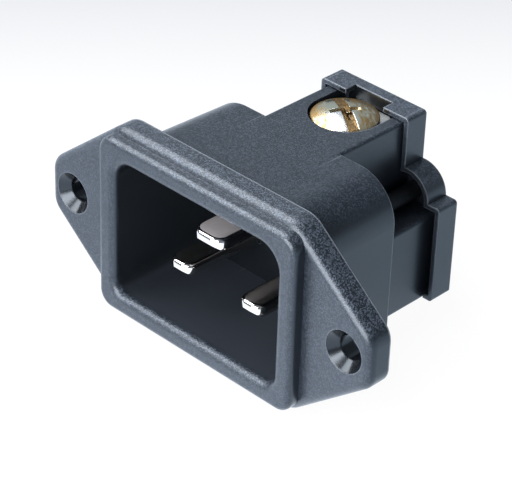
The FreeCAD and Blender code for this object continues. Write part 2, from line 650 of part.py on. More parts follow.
# Contacts
def pin(terminal):
    """Flat blade with rounded tip, and a wider tapped tang behind the shoulder."""
    body = new_body(f"{terminal.name}_pin")
    x = terminal.x
    low = f"{terminal.side} * dims.earth_offset / 2 - dims.pin_thick / 2"
    tip = f"-({terminal.reach})"
    blade_half, tang_half = f"{terminal.width} / 2", "dims.tang_width / 2"
    outline = sketch_at(body, f"{terminal.name}_outline", "plan", z=low)
    polygon(outline, [
        (beside(x, blade_half, "-"), tip), (beside(x, blade_half, "+"), tip),
        (beside(x, blade_half, "+"), TANG_FRONT), (beside(x, tang_half, "+"), TANG_FRONT),
        (beside(x, tang_half, "+"), TANG_END), (beside(x, tang_half, "-"), TANG_END),
        (beside(x, tang_half, "-"), TANG_FRONT), (beside(x, blade_half, "-"), TANG_FRONT),
    ])
    add(body, outline, "dims.pin_thick", "up")
    tip_y = size(tip)
    corners = edges_where(body, lambda e: runs_along(e, "z") and lies_at(e, "y", tip_y))
    tip_round = f"min(dims.tip_corner_radius; {blade_half} - dims.blade_edge_chamfer)"
    dress(body, "Fillet", f"{terminal.name}_tip_corners", corners, tip_round)
    shoulder = size(TANG_FRONT)

    def is_blade_edge(edge):
        heights = [vertex.Z for vertex in edge.Vertexes]
        reach = [vertex.Y for vertex in edge.Vertexes]
        flat = near(min(heights), max(heights))
        return flat and max(reach) < shoulder + TOLERANCE and min(reach) < shoulder - TOLERANCE

    dress(body, "Chamfer", f"{terminal.name}_blade_edges", edges_where(body, is_blade_edge),
          "dims.blade_edge_chamfer")
    tapped = sketch_at(body, f"{terminal.name}_tapped_hole", "plan", x, SCREW_STATION, low)
    circle(tapped, "0", "0", TAPPED_DIA)
    cut(body, tapped, None, "up")
    return body


def clamp_plate(terminal):
    """Plate, captive under the screw head, that presses the wire on the tang."""
    body = new_body(f"{terminal.name}_clamp_plate")
    face = f"{terminal.side} * {plate_inner(terminal)}"
    outline = sketch_at(body, f"{terminal.name}_plate", "plan", terminal.x, SCREW_STATION, face)
    rectangle(outline, f"-{PLATE_HALF}", PLATE_HALF, f"-{PLATE_HALF}", PLATE_REACH)
    circle(outline, "0", "0", TAPPED_DIA)
    add(body, outline, "dims.plate_thick", outward(terminal))
    half, middle = size(PLATE_HALF), size(terminal.x)
    corners = edges_where(
        body, lambda e: runs_along(e, "z") and near(abs(e.Vertexes[0].X - middle), half))
    dress(body, "Fillet", f"{terminal.name}_plate_corners", corners, "dims.plate_corner")
    return body


# Screws
def screw_profile(sketch, side, shank_dia, shank_length, head_dia, head_side, head_height):
    """Half section of a domed screw: radius across, height outwards from under the head."""
    out = "" if side > 0 else "-"
    inn = "-" if side > 0 else ""
    shank, head = f"{shank_dia} / 2", f"{head_dia} / 2"
    tip = f"{inn}({shank_length})"
    tip_top = f"{inn}({shank_length} - dims.tip_chamfer)"
    points = [
        ("0", tip), (f"{shank} - dims.tip_chamfer", tip), (shank, tip_top), (shank, "0"),
        (head, "0"), (head, f"{out}({head_side})"), ("0", f"{out}({head_height})"),
    ]
    places = [Vector(size(x), size(y), 0) for x, y in points]
    lines = [sketch.addGeometry(Part.LineSegment(a, b)) for a, b in zip(places[:5], places[1:6])]
    rise = size(head_height) - size(head_side)
    half = size(head)
    radius = (half * half + rise * rise) / (2 * rise)
    direction = 1 if side > 0 else -1
    centre = Vector(0, direction * (size(head_height) - radius), 0)
    on_dome = centre + (places[5] + places[6] - centre * 2).normalize() * radius
    dome = sketch.addGeometry(Part.Arc(places[5], on_dome, places[6]))
    axis = sketch.addGeometry(Part.LineSegment(places[6], places[0]))
    dome_start, dome_end = (1, 2) if side > 0 else (2, 1)
    for before, after in zip(lines, lines[1:]):
        sketch.addConstraint(Sketcher.Constraint("Coincident", before, 2, after, 1))
    sketch.addConstraint(Sketcher.Constraint("Coincident", lines[-1], 2, dome, dome_start))
    sketch.addConstraint(Sketcher.Constraint("Coincident", dome, dome_end, axis, 1))
    sketch.addConstraint(Sketcher.Constraint("Coincident", axis, 2, lines[0], 1))
    for line, point in zip(lines, points):
        tie_point(sketch, line, 1, point)
    tie_point(sketch, lines[-1], 2, points[5])
    tie_point(sketch, axis, 1, points[6])
    sketch.addConstraint(Sketcher.Constraint("PointOnObject", dome, 3, -2))


def spin(body, sketch):
    """Revolve a half section about the sketch's own upright axis."""
    turned = body.newObject("PartDesign::Revolution", f"{sketch.Name}_turned")
    turned.Profile = sketch
    turned.ReferenceAxis = (sketch, ["V_Axis"])
    turned.Angle = FULL_TURN
    doc.recompute()


def terminal_screw(terminal):
    """Domed terminal screw with a driver slot and a cross recess."""
    body = new_body(f"{terminal.name}_terminal_screw")
    name, x, side = terminal.name, terminal.x, terminal.side
    seat = f"{side} * {terminal.seat}"
    shank = f"({terminal.seat} - {TANG_INNER} - dims.tip_inset)"
    profile = sketch_at(body, f"{name}_screw", "front", x, SCREW_STATION, seat)
    screw_profile(profile, side, "dims.thread_dia", shank,
                  "dims.head_dia", "dims.head_side", "dims.head_height")
    spin(body, profile)
    crown = f"{side} * ({terminal.seat} + dims.head_height)"
    slot = sketch_at(body, f"{name}_driver_slot", "plan", x, SCREW_STATION, crown, "dims.slot_turn")
    middle_rectangle(slot, "2 * dims.head_dia", "dims.slot_width")
    cut(body, slot, "dims.slot_depth", inward(terminal))
    cross = sketch_at(body, f"{name}_cross", "plan", x, SCREW_STATION, crown, "dims.slot_turn")
    plus_sign(cross, "dims.cross_span", "dims.cross_width")
    cut(body, cross, "dims.cross_depth", inward(terminal))
    return body


def cover_screw(name, x):
    """Long domed screw that passes beside the tower and holds the cover to a boss."""
    body = new_body(name)
    profile = sketch_at(body, f"{name}_section", "plan", x, COVER_SCREW_SEAT, "dims.boss_height")
    screw_profile(profile, 1, "dims.cover_screw_dia", COVER_SCREW_LENGTH,
                  "dims.cover_head_dia", "dims.cover_head_side", "dims.cover_head_height")
    spin(body, profile)
    crown = f"{COVER_SCREW_SEAT} + dims.cover_head_height"
    cross = sketch_at(body, f"{name}_cross", "front", x, crown, "dims.boss_height")
    plus_sign(cross, "dims.cover_cross_span", "dims.cover_cross_width")
    cut(body, cross, "dims.cover_cross_depth", "front")
    return body


def build():
    """Every sub-part, in the order in which it is put together."""
    pieces = [inlet_housing(), rear_cover()]
    for maker in (pin, clamp_plate, terminal_screw):
        pieces += [maker(terminal) for terminal in TERMINALS]
    pieces.append(cover_screw("right_cover_screw", COVER_SCREW_X))
    pieces.append(cover_screw("left_cover_screw", f"-{COVER_SCREW_X}"))
    return pieces


pieces = build()
doc.recompute()
for item in doc.Objects:
    if {"Invalid", "Error"} & set(item.State):
        raise RuntimeError(f"{item.Name} failed: {item.State}")
for piece in pieces:
    if piece.Shape.isNull() or not piece.Shape.isValid() or len(piece.Shape.Solids) != 1:
        raise RuntimeError(f"{piece.Label} is not one valid solid")

os.makedirs("parts", exist_ok=True)
for piece in pieces:
    piece.Shape.exportStep(f"parts/{piece.Label}.step")
    print(f"{piece.Label}: {piece.Shape.Volume:.1f} mm3")
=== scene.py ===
"""Looks of a panel mount power inlet: dark moulded nylon, plated pins and tarnished terminal screws."""
import json
import math

import bpy
from mathutils import Matrix, Vector

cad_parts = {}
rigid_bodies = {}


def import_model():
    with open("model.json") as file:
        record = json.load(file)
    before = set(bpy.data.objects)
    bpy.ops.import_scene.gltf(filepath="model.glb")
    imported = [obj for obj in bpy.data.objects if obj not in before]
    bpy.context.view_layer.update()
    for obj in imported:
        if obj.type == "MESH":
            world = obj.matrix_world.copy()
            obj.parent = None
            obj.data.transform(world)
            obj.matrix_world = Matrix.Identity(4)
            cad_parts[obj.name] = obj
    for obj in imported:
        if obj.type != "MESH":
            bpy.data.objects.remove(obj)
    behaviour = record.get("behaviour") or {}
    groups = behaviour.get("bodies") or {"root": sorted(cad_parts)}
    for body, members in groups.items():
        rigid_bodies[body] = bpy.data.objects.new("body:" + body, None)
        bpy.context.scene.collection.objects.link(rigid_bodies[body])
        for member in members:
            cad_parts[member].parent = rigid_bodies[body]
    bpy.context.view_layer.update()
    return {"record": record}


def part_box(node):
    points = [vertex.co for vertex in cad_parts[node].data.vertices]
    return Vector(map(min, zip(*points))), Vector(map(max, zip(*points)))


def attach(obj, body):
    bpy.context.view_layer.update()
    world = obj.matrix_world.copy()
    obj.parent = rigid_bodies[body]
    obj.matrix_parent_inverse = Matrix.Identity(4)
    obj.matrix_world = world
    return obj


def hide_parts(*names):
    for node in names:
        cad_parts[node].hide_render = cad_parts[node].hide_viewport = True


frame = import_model()

MM = 0.001

# Edges in all finishes. Here and below, a pair in brackets is the start and end of a smooth step
SHARP = 0.05 * MM
EDGE_SAMPLES = 6
EDGE_TURN = (0.985, 0.90)
AIR_SAMPLES = 4
AIR_REACH = 0.6 * MM
AIR_OPEN = (0.93, 0.99)


# Finishes: nodes written as Python expressions
class Link:
    """One socket of a finish, with Python's own operators for its maths."""

    def __init__(self, finish, socket):
        self.finish = finish
        self.socket = socket

    def __add__(self, other):
        return self.finish.math("ADD", self, other)

    def __sub__(self, other):
        return self.finish.math("SUBTRACT", self, other)

    def __rsub__(self, other):
        return self.finish.math("SUBTRACT", other, self)

    def __mul__(self, other):
        return self.finish.math("MULTIPLY", self, other)

    def __pow__(self, other):
        return self.finish.math("POWER", self, other)

    __radd__ = __add__
    __rmul__ = __mul__


class Finish:
    """A material whose colour, roughness and relief are worked out by nodes."""

    def __init__(self, name, **constants):
        self.material = bpy.data.materials.new(name)
        self.material.use_nodes = True
        self.tree = self.material.node_tree
        self.shader = self.tree.nodes["Principled BSDF"]
        for socket, value in constants.items():
            self.shader.inputs[socket.replace("_", " ")].default_value = value

    def node(self, kind, settings=None, inputs=None, output=0):
        """Add a node: its settings first, then the values or links of its sockets."""
        made = self.tree.nodes.new(kind)
        for key, value in (settings or {}).items():
            setattr(made, key, value)
        for key, value in (inputs or {}).items():
            self.feed(made.inputs[key], value)
        return Link(self, made.outputs[output])

    def feed(self, socket, value):
        """Link a socket, or set its own value."""
        if isinstance(value, Link):
            self.tree.links.new(value.socket, socket)
        else:
            socket.default_value = value

    def math(self, operation, *values):
        """A Math node on one or two values."""
        return self.node("ShaderNodeMath", {"operation": operation}, dict(enumerate(values)))

    def larger(self, first, second):
        """The larger of two values."""
        return self.math("MAXIMUM", first, second)

    def size(self, value):
        """A value without its sign."""
        return self.math("ABSOLUTE", value)

    def step(self, value, start, end):
        """0 before the start, 1 past the end and a smooth rise between them."""
        return self.node("ShaderNodeMapRange", {"interpolation_type": "SMOOTHSTEP"},
                         {"Value": value, "From Min": start, "From Max": end})

    def within(self, value, limit):
        """1 where a value lies closer to 0 than a limit."""
        return self.step(value ** 2.0, limit ** 2, (limit - SHARP) ** 2)

    def place(self, output="Object"):
        """The surface's own coordinates."""
        return self.node("ShaderNodeTexCoord", output=output)

    def axes(self, vector):
        """The three parts of a vector."""
        return [self.node("ShaderNodeSeparateXYZ", inputs={0: vector}, output=k) for k in range(3)]

    def stretched(self, vector, scale):
        """Coordinates scaled for a pattern."""
        inputs = {"Vector": vector, "Scale": scale}
        return self.node("ShaderNodeMapping", {"vector_type": "POINT"}, inputs)

    def noise(self, vector, size, detail=2.0, roughness=0.5):
        """Cloudy noise from 0 to 1 with patches of about a given size."""
        inputs = {"Vector": vector, "Scale": 1.0 / size, "Detail": detail, "Roughness": roughness}
        return self.node("ShaderNodeTexNoise", inputs=inputs)

    def specks(self, vector, size):
        """A value of its own, round about a half, for each small cell of the surface."""
        inputs = {"Vector": vector, "Scale": 1.0 / size}
        return self.node("ShaderNodeTexVoronoi", inputs=inputs, output="Color")

    def mix(self, factor, first, second):
        """A colour between two colours."""
        return self.node("ShaderNodeMix", {"data_type": "RGBA"}, {0: factor, 6: first, 7: second}, 2)

    def mix_vectors(self, factor, first, second):
        """A vector between two vectors."""
        return self.node("ShaderNodeMix", {"data_type": "VECTOR"}, {0: factor, 4: first, 5: second}, 1)

    def relief(self, height, distance, strength=1.0, normal=None):
        """A bumped normal from a height."""
        inputs = {"Height": height, "Distance": distance, "Strength": strength}
        if normal:
            inputs["Normal"] = normal
        return self.node("ShaderNodeBump", inputs=inputs)

    def face_normal(self):
        """The surface's own normal."""
        return self.node("ShaderNodeNewGeometry", output="Normal")

    def open_air(self):
        """1 where nothing stands close by, and 0 in inner corners."""
        settings = {"samples": AIR_SAMPLES}
        air = self.node("ShaderNodeAmbientOcclusion", settings, {"Distance": AIR_REACH}, "AO")
        return self.step(air, *AIR_OPEN)

    def soft_edges(self, radius):
        """A normal that turns gently over sharp edges."""
        return self.node("ShaderNodeBevel", {"samples": EDGE_SAMPLES}, {"Radius": radius})

    def soft_outer_edges(self, radius):
        """A normal that turns gently over outer edges and leaves inner corners sharp."""
        return self.mix_vectors(self.open_air(), self.face_normal(), self.soft_edges(radius))

    def wear_and_highlight_edges(self, rounded):
        """1 on outer edges, where a rounded normal turns away from the face's own: a painted highlight
        on the nylon, bare worn metal on the zinc.
        """
        turn = self.node("ShaderNodeVectorMath", {"operation": "DOT_PRODUCT"},
                         {0: rounded, 1: self.face_normal()}, "Value")
        return self.step(turn, *EDGE_TURN) * self.open_air()

    def blend_into(self, factor, shader):
        """Blend another shader over this finish's own."""
        blend = self.node("ShaderNodeMixShader", None, {0: factor, 2: shader})
        self.tree.links.new(self.shader.outputs[0], blend.socket.node.inputs[1])
        self.tree.links.new(blend.socket, self.tree.nodes["Material Output"].inputs["Surface"])

    def paint(self, **sockets):
        """Feed the shader and give back the finished material."""
        for socket, value in sockets.items():
            self.feed(self.shader.inputs[socket.replace("_", " ")], value)
        return self.material


# Places on the moulding that its finish follows
RECESS_X = 15.0 * MM
RECESS_Z = 10.55 * MM
RECESS_FLOOR = 11.85 * MM
MOUTH_Y = (-4.6 * MM, -3.6 * MM)
HOLE_X = 25.0 * MM
COUNTERSINK = 3.05 * MM
FLANGE_FRONT = -3.55 * MM
FLANGE_REAR = (0.1 * MM, 0.0)
PARTING_WIDTH = 0.22 * MM
TRACE_X = 7.1 * MM
TRACE_Y = (7.85 * MM, 14.85 * MM)
TRACE_WIDTH = 0.09 * MM
NOTCH_X = 4.5 * MM
NOTCH_Y = (20.0 * MM, 21.0 * MM)
NOTCH_Z = (8.5 * MM, 9.5 * MM)

# The ways its faces point, each by one part of the normal
SIDEWAYS = (0.5, 0.75)
UPWARD = (0.3, 0.8)
LEDGE_UPWARD = (0.5, 0.8)
LEVEL = (0.8, 0.95)
FORWARD = (-0.5, -0.8)
SQUARE_FORWARD = (-0.8, -0.9)
NOT_BACKWARD = (0.9, 0.8)

# Its tones, with painted shade for the recess, its ledges, the notch wall and the countersinks, and a
# painted highlight tone for edges and lines
HOUSING_TONES = (0.0038, 0.0053, 0.0078, 1), (0.052, 0.064, 0.086, 1)
COVER_TONES = (0.0085, 0.0108, 0.0148, 1), (0.095, 0.115, 0.150, 1)
RECESS_SHADE_TONE = (0.009, 0.011, 0.0135, 1)
DEEPEST_SHADE_TONE = (0.002, 0.0026, 0.0035, 1)
LEDGE_SHADE_TONE = (0.018, 0.0215, 0.028, 1)
SINK_SHADE_TONE = (0.0025, 0.0032, 0.0045, 1)
EDGE_HIGHLIGHT_TONE = (0.13, 0.145, 0.17, 1)
NYLON_SHEEN = (0.80, 0.89, 1.0, 1)
NYLON_IOR = 1.5

# Its grain and flecks, how much of them each place shows, and its gloss
GRAIN_SIZE = 0.22 * MM
GRAIN_DEPTH = 0.05 * MM
GRAIN_BREAK = 0.6
FLECK_SIZE = 0.15 * MM
FLECK_RANGE = (0.575, 1.025)
PATCH_SIZE = 0.35 * MM
PATCH_SHARE = 0.35
CLOUD_SIZE = 5.0 * MM
CLOUD_SHARE = 0.12
SMOOTHED = 0.92
SIDE_SMOOTH = 0.8
FINE_TEXTURE = 0.33
REAR_TEXTURE = 0.45
EDGE_SOFT = 0.32 * MM
EDGE_HIGHLIGHT_SHARE = 0.7
TRACE_HIGHLIGHT_SHARE = 0.4
NYLON_ROUGH = 0.30
GRAIN_ROUGH = 0.12
SINK_GLOSS = 0.10


def recess_inside(finish, x, y, z):
    """1 in the recess, from behind its mouth to its floor."""
    inside = finish.within(x, RECESS_X) * finish.within(z, RECESS_Z) * finish.step(y, *MOUTH_Y)
    return inside * finish.step(y, RECESS_FLOOR + SHARP, RECESS_FLOOR)


def countersinks(finish, x, y, z):
    """1 in the countersinks of the two mounting holes."""
    across = finish.size(x) - HOLE_X
    sink = finish.within((across ** 2.0 + z ** 2.0) ** 0.5, COUNTERSINK)
    return sink * finish.step(y, FLANGE_FRONT - SHARP, FLANGE_FRONT)


def parting_line_highlight(finish, y, front):
    """1 on the mould's parting line round the flange's rear edge, which takes a painted highlight."""
    line = finish.step(y, -PARTING_WIDTH, SHARP - PARTING_WIDTH) * finish.step(y, 0.0, -SHARP)
    return line * finish.step(front, *NOT_BACKWARD)


def tower_trace_highlight(finish, x, y, up):
    """1 on the witness lines that run from the tower's edges over the shell, which take a painted
    highlight.
    """
    trace = finish.within(finish.size(x) - TRACE_X, TRACE_WIDTH)
    return trace * finish.step(up, *LEVEL) * finish.step(y, *TRACE_Y)


def shaded_notch_wall(finish, x, y, z, front):
    """1 on the wall of the cover's notch that looks at the earth screw, which takes painted shade."""
    notch = finish.within(x, NOTCH_X) * finish.step(y, *NOTCH_Y) * finish.step(z, *NOTCH_Z)
    return notch * finish.step(front, *SQUARE_FORWARD)


def moulded_nylon(name, dark, pale):
    """Glass filled nylon: grain above, finer in front, smooth sides, recess and countersinks, with
    painted shade in the recess, countersinks and notch and a painted highlight on edges and lines.
    """
    finish = Finish(name, IOR=NYLON_IOR, Specular_Tint=NYLON_SHEEN)
    place = finish.place()
    x, y, z = finish.axes(place)
    side, front, up = finish.axes(finish.place("Normal"))
    recess = recess_inside(finish, x, y, z)
    sink = countersinks(finish, x, y, z)
    walls = finish.step(side ** 2.0, *SIDEWAYS) * SIDE_SMOOTH
    smooth = finish.larger(finish.larger(recess, sink), walls)
    texture = FINE_TEXTURE + finish.step(up, *UPWARD) * (1.0 - FINE_TEXTURE)
    texture = texture * (1.0 - smooth * SMOOTHED)
    coarse = texture * (REAR_TEXTURE + finish.step(y, *FLANGE_REAR) * (1.0 - REAR_TEXTURE))
    grain = finish.noise(place, GRAIN_SIZE, roughness=GRAIN_BREAK)
    fleck = finish.specks(place, FLECK_SIZE) + finish.noise(place, PATCH_SIZE) * PATCH_SHARE
    cloud = finish.noise(place, CLOUD_SIZE)
    colour = finish.mix(finish.step(fleck, *FLECK_RANGE) * coarse + cloud * CLOUD_SHARE, dark, pale)
    # Painted shade in the recess: darkest on walls that face forward, lighter on ledges that face up
    inside = finish.mix(finish.step(front, *FORWARD), RECESS_SHADE_TONE, DEEPEST_SHADE_TONE)
    inside = finish.mix(finish.step(up, *LEDGE_UPWARD), inside, LEDGE_SHADE_TONE)
    colour = finish.mix(recess, colour, inside)
    # Painted shade on the wall of the cover's notch
    colour = finish.mix(shaded_notch_wall(finish, x, y, z, front), colour, DEEPEST_SHADE_TONE)
    rounded = finish.soft_outer_edges(EDGE_SOFT)
    # Painted highlight: a lighter colour on outer edges, on the parting line and on the tower's witness
    # lines
    lines = parting_line_highlight(finish, y, front) * (1.0 - recess) + tower_trace_highlight(finish, x, y, up) * TRACE_HIGHLIGHT_SHARE
    highlit = finish.larger(finish.wear_and_highlight_edges(rounded) * EDGE_HIGHLIGHT_SHARE, lines)
    colour = finish.mix(highlit, colour, EDGE_HIGHLIGHT_TONE)
    # Painted shade in the countersinks
    colour = finish.mix(sink, colour, SINK_SHADE_TONE)
    normal = finish.relief(grain * coarse, GRAIN_DEPTH, normal=rounded)
    rough = NYLON_ROUGH + grain * texture * GRAIN_ROUGH - sink * SINK_GLOSS
    return finish.paint(Base_Color=colour, Roughness=rough, Normal=normal)


# Nickel plate of the pins: fine scratches along the blade, flats less bright than edges
FLAT_FACE = (0.90, 0.97)
SATIN_TONES = (0.62, 0.585, 0.60, 1), (0.74, 0.70, 0.72, 1)
SATIN_DRAWN = (1.0, 0.08, 1.0)
SATIN_SCRATCH = 0.12 * MM
SATIN_DEPTH = 0.006 * MM
SATIN_STRENGTH = 0.5
SATIN_EDGE_ROUGH = 0.05
SATIN_FLAT_ROUGH = 0.47
SATIN_SCRATCH_ROUGH = 0.12
BRIGHT_TONES = (0.58, 0.55, 0.51, 1), (0.70, 0.67, 0.62, 1)
BRIGHT_DRAWN = (1.0, 0.1, 1.0)
BRIGHT_SCRATCH = 0.1 * MM
BRIGHT_DEPTH = 0.002 * MM
BRIGHT_STRENGTH = 0.3
BRIGHT_EDGE_ROUGH = 0.04
BRIGHT_FLAT_ROUGH = 0.15
BRIGHT_SCRATCH_ROUGH = 0.04


def flat_faces(finish):
    """1 on a pin's upper and lower faces."""
    up = finish.axes(finish.place("Normal"))[2]
    return finish.step(up ** 2.0, *FLAT_FACE)


def satin_nickel():
    """Nickel plate of the earth pin: matt on its flats, bright on its edges."""
    finish = Finish("satin nickel", Metallic=1.0)
    matt = flat_faces(finish)
    scratches = finish.noise(finish.stretched(finish.place(), SATIN_DRAWN), SATIN_SCRATCH)
    colour = finish.mix(scratches, *SATIN_TONES)
    normal = finish.relief(scratches * matt, SATIN_DEPTH, SATIN_STRENGTH)
    rough = SATIN_EDGE_ROUGH + matt * (SATIN_FLAT_ROUGH + scratches * SATIN_SCRATCH_ROUGH)
    return finish.paint(Base_Color=colour, Roughness=rough, Normal=normal)


def bright_nickel():
    """Polished nickel plate of the line and neutral pins."""
    finish = Finish("bright nickel", Metallic=1.0)
    flat = flat_faces(finish)
    scratches = finish.noise(finish.stretched(finish.place(), BRIGHT_DRAWN), BRIGHT_SCRATCH)
    colour = finish.mix(scratches, *BRIGHT_TONES)
    normal = finish.relief(scratches, BRIGHT_DEPTH, BRIGHT_STRENGTH)
    rough = BRIGHT_EDGE_ROUGH + flat * BRIGHT_FLAT_ROUGH + scratches * BRIGHT_SCRATCH_ROUGH
    return finish.paint(Base_Color=colour, Roughness=rough, Normal=normal)


# Tarnish on a terminal screw's head, by its plan: u runs along the slot and v across it
RIM_RING = (3.4 * MM, 4.5 * MM)
RING_SIDE = (1.0 * MM, -0.5 * MM)
SLOT_MASK = 0.8 * MM
CROSS_REACH = (3.0 * MM, 2.9 * MM)
BELOW_DOME = (1.21 * MM, 1.15 * MM)
INSIDE_RIM = (4.62 * MM, 4.58 * MM)
RIGHT_PATCH = (-0.2 * MM, 1.6 * MM)
LEFT_PATCH = (-2.0 * MM, -3.2 * MM)
CLEAN_PATCH = (-0.4 * MM, 0.6 * MM)
STREAK_SIZE = 0.7 * MM
STREAK_DRAWN = (0.35, 1.0, 1.0)
STREAK_DETAIL = 5.0
STREAK_BREAK = 0.65
FINE_SIZE = 0.16 * MM
FINE_DRAWN = (0.3, 1.0, 1.0)
FINE_DETAIL = 3.0
FINE_SHARE = 0.35
FINE_DEPTH = 0.004 * MM
FINE_STRENGTH = 0.5
PATCH_STAIN = 0.13
CLEAN_STAIN = 0.3
STAIN_RANGE = (0.64, 0.90)
DIRT_RANGE = (0.35, 0.65)
ZINC_TONES = (0.62, 0.60, 0.47, 1), (0.80, 0.79, 0.76, 1)
BROWN_TONES = (0.27, 0.18, 0.08, 1), (0.10, 0.06, 0.027, 1)
BARE_TONE = (0.90, 0.89, 0.86, 1)
ZINC_ROUGH = 0.2
STAIN_ROUGH = 0.25
METAL_EDGE = 0.12 * MM


def sunk_places(finish, v, radius):
    """1 in the slot and the cross recess, below the dome."""
    height = finish.node("ShaderNodeAttribute", {"attribute_name": "height"}, output="Fac")
    sunk = finish.larger(finish.within(v, SLOT_MASK), finish.step(radius, *CROSS_REACH))
    return sunk * finish.step(height, *BELOW_DOME) * finish.step(radius, *INSIDE_RIM)


def tarnished_zinc():
    """Zinc plate of the terminal screws, with brown tarnish in the slot, at the rim and in streaks."""
    finish = Finish("tarnished zinc", Metallic=1.0)
    plan = finish.place("UV")
    u, v = finish.axes(plan)[:2]
    radius = (u ** 2.0 + v ** 2.0) ** 0.5
    drawn = finish.stretched(plan, STREAK_DRAWN)
    streaks = finish.noise(drawn, STREAK_SIZE, STREAK_DETAIL, STREAK_BREAK)
    fine = finish.noise(finish.stretched(plan, FINE_DRAWN), FINE_SIZE, FINE_DETAIL)
    ring = finish.step(radius, *RIM_RING) * finish.step(u, *RING_SIDE)
    right = finish.step(v, *RIGHT_PATCH)
    left = finish.step(v, *LEFT_PATCH)
    clean_spot = finish.step(u, *CLEAN_PATCH) * (1.0 - right) * (1.0 - left)
    tarnish = streaks + fine * FINE_SHARE + (ring + right + left) * PATCH_STAIN
    tarnish = tarnish - clean_spot * CLEAN_STAIN
    sunk = sunk_places(finish, v, radius)
    rounded = finish.soft_edges(METAL_EDGE)
    bare = finish.wear_and_highlight_edges(rounded)
    stain = finish.larger(finish.step(tarnish, *STAIN_RANGE), sunk) * (1.0 - bare)
    brown = finish.mix(sunk * finish.step(fine, *DIRT_RANGE), *BROWN_TONES)
    colour = finish.mix(stain, finish.mix(clean_spot, *ZINC_TONES), brown)
    colour = finish.mix(bare, colour, BARE_TONE)
    normal = finish.relief(fine, FINE_DEPTH, FINE_STRENGTH, rounded)
    rough = ZINC_ROUGH + stain * STAIN_ROUGH
    return finish.paint(Base_Color=colour, Roughness=rough, Normal=normal)


# Black cover screws and zinc clamp plates: cloudy wear over the whole piece
WEAR_DETAIL = 4.0
WEAR_STRENGTH = 0.3
BLACK_TONES = (0.045, 0.048, 0.054, 1), (0.085, 0.088, 0.094, 1)
BLACK_WEAR = 0.5 * MM
BLACK_WEAR_RANGE = (0.6, 0.8)
BLACK_DEPTH = 0.008 * MM
BLACK_ROUGH = 0.55
BLACK_WEAR_ROUGH = 0.2
PLATE_TONES = (0.55, 0.56, 0.55, 1), (0.74, 0.74, 0.71, 1)
PLATE_WEAR = 0.8 * MM
PLATE_DEPTH = 0.01 * MM
PLATE_ROUGH = 0.25
PLATE_WEAR_ROUGH = 0.15


def black_oxide():
    """Dull black oxide of the cover screws."""
    finish = Finish("black oxide", Metallic=1.0)
    wear = finish.noise(finish.place(), BLACK_WEAR, WEAR_DETAIL)
    colour = finish.mix(finish.step(wear, *BLACK_WEAR_RANGE), *BLACK_TONES)
    normal = finish.relief(wear, BLACK_DEPTH, WEAR_STRENGTH, finish.soft_edges(METAL_EDGE))
    rough = BLACK_ROUGH + wear * BLACK_WEAR_ROUGH
    return finish.paint(Base_Color=colour, Roughness=rough, Normal=normal)


def zinc_plate():
    """Plain zinc plate of the clamp plates."""
    finish = Finish("zinc plate", Metallic=1.0)
    wear = finish.noise(finish.place(), PLATE_WEAR, WEAR_DETAIL)
    colour = finish.mix(wear, *PLATE_TONES)
    normal = finish.relief(wear, PLATE_DEPTH, WEAR_STRENGTH, finish.soft_edges(METAL_EDGE))
    rough = PLATE_ROUGH + wear * PLATE_WEAR_ROUGH
    return finish.paint(Base_Color=colour, Roughness=rough, Normal=normal)


FINISH_OF = {
    "moulded_nylon": moulded_nylon("housing nylon", *HOUSING_TONES),
    "plated_pins": bright_nickel(),
    "terminal_screws": tarnished_zinc(),
    "clamp_plates": zinc_plate(),
    "cover_screws": black_oxide(),
}
EARTH_FINISH = satin_nickel()
COVER_FINISH = moulded_nylon("cover nylon", *COVER_TONES)


def dress(piece, material):
    """Give a piece one material."""
    piece.data.materials.clear()
    piece.data.materials.append(material)


for subpart in frame["record"]["subparts"]:
    dress(bpy.data.objects[subpart["node"]], FINISH_OF[subpart["material_slot"]])
dress(bpy.data.objects["rear_cover"], COVER_FINISH)

# Modelling by hand, in metres
WELD = 0.0005 * MM
TOUCH = 0.01 * MM
FACING = 0.9
SMOOTH_ANGLE = math.radians(30)


def only(piece):
    """Make one object the only one that operators act on."""
    bpy.ops.object.select_all(action="DESELECT")
    bpy.context.view_layer.objects.active = piece
    piece.select_set(True)


def settle(piece):
    """Put an object's place, turn and scale into its mesh."""
    only(piece)
    bpy.ops.object.transform_apply(location=True, rotation=True, scale=True)


def edit_all(piece):
    """Go into edit mode with all of an object selected."""
    only(piece)
    bpy.ops.object.mode_set(mode="EDIT")
    bpy.ops.mesh.select_all(action="SELECT")


def pick(piece, kind, test):
    """Select, in edit mode, the faces or edges whose corner points and normal pass a test."""
    only(piece)
    bpy.ops.object.mode_set(mode="EDIT")
    bpy.ops.mesh.select_mode(type=kind)
    bpy.ops.mesh.select_all(action="DESELECT")
    bpy.ops.object.mode_set(mode="OBJECT")
    mesh = piece.data
    for item in mesh.polygons if kind == "FACE" else mesh.edges:
        corners = [mesh.vertices[k].co for k in item.vertices]
        item.select = test(corners, item.normal if kind == "FACE" else None)
    bpy.ops.object.mode_set(mode="EDIT")


def leave_edit():
    """Back to object mode."""
    bpy.ops.object.mode_set(mode="OBJECT")


def apply_boolean(piece, tool, operation):
    """Add a tool to a piece or cut it out, and drop the tool."""
    only(piece)
    step = piece.modifiers.new(operation.lower(), "BOOLEAN")
    step.operation = operation
    step.solver = "EXACT"
    step.object = tool
    bpy.ops.object.modifier_apply(modifier=step.name)
    bpy.data.objects.remove(tool)


def clean(piece):
    """Merge doubles, turn the normals outward and smooth all but the sharp edges."""
    edit_all(piece)
    bpy.ops.mesh.remove_doubles(threshold=WELD)
    bpy.ops.mesh.normals_make_consistent(inside=False)
    leave_edit()
    bpy.ops.object.shade_smooth_by_angle(angle=SMOOTH_ANGLE)


def is_at(corners, axis, place):
    """True where all corner points lie at one place on an axis."""
    return all(abs(corner[axis] - place) < TOUCH for corner in corners)


def twin(piece):
    """A copy with a mesh of its own."""
    copy = piece.copy()
    copy.data = piece.data.copy()
    bpy.context.collection.objects.link(copy)
    return copy


